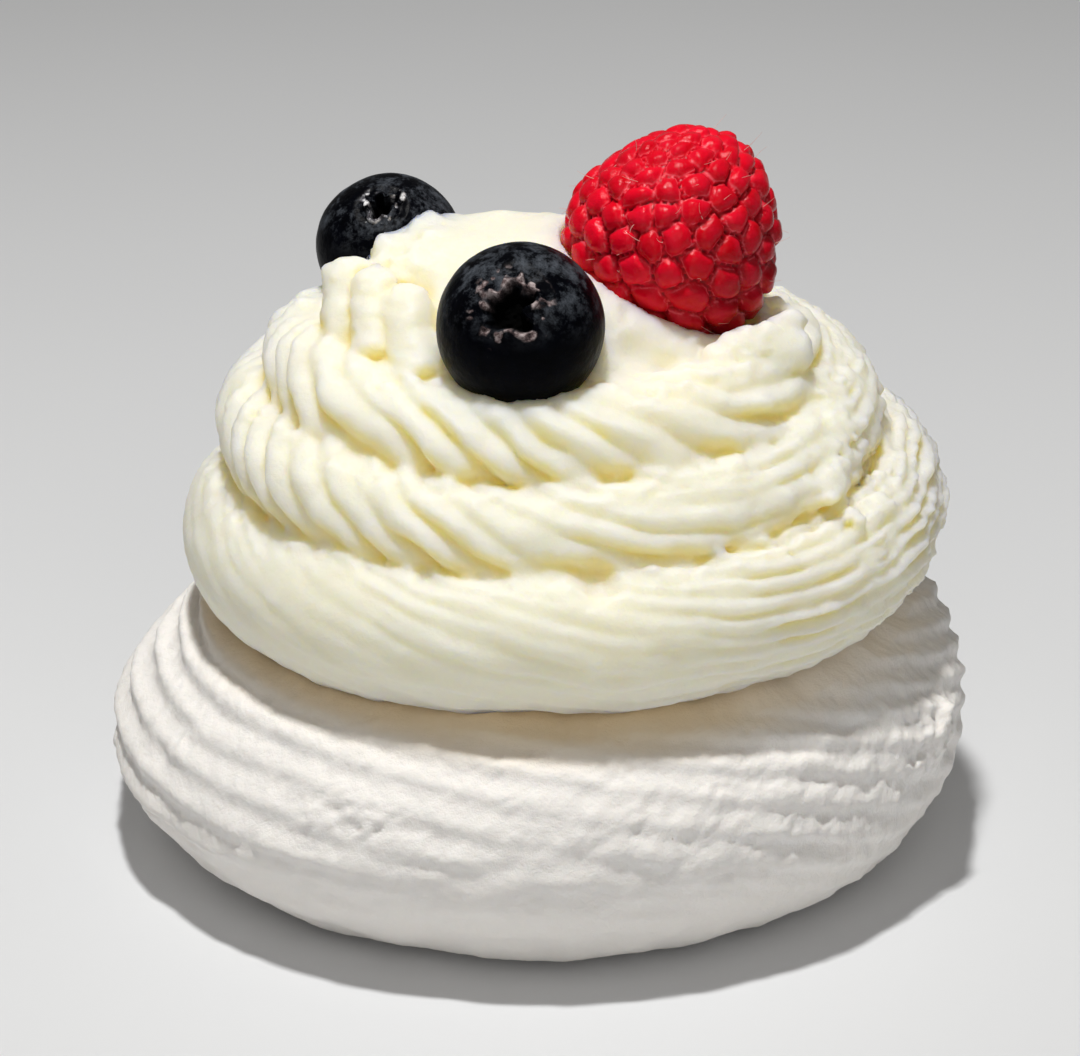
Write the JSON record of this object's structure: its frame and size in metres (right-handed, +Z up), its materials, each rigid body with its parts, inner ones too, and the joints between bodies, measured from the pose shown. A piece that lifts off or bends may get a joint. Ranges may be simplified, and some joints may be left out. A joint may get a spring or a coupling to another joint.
{
  "type": "pavlova",
  "caption": "Small pavlova: a ridged meringue base under a tall piped swirl of whipped cream, with a raspberry and blueberries pressed into the top.",
  "frame": {"origin": "centre of the meringue's flat foot, on the surface it rests on", "axes": "+Z up through the swirl, -Y towards the side with the blueberry that shows its crown, +X towards the raspberry's side"},
  "size_m": [0.0727, 0.0726, 0.0618],
  "materials": {
    "meringue_crust": "dry matte white crust of baked egg white and sugar",
    "whipped_cream": "soft satin ivory whipped cream, warmer in the grooves",
    "raspberry_flesh": "moist red drupelets with a fine bloom",
    "blueberry_skin": "nearly black skin with patches of blue-grey bloom"
  },
  "bodies": {
    "root": {"meringue": "meringue_crust", "whipped_cream": "whipped_cream", "raspberry": "raspberry_flesh", "blueberry_front": "blueberry_skin", "blueberry_back": "blueberry_skin"}
  },
  "joints": []
}
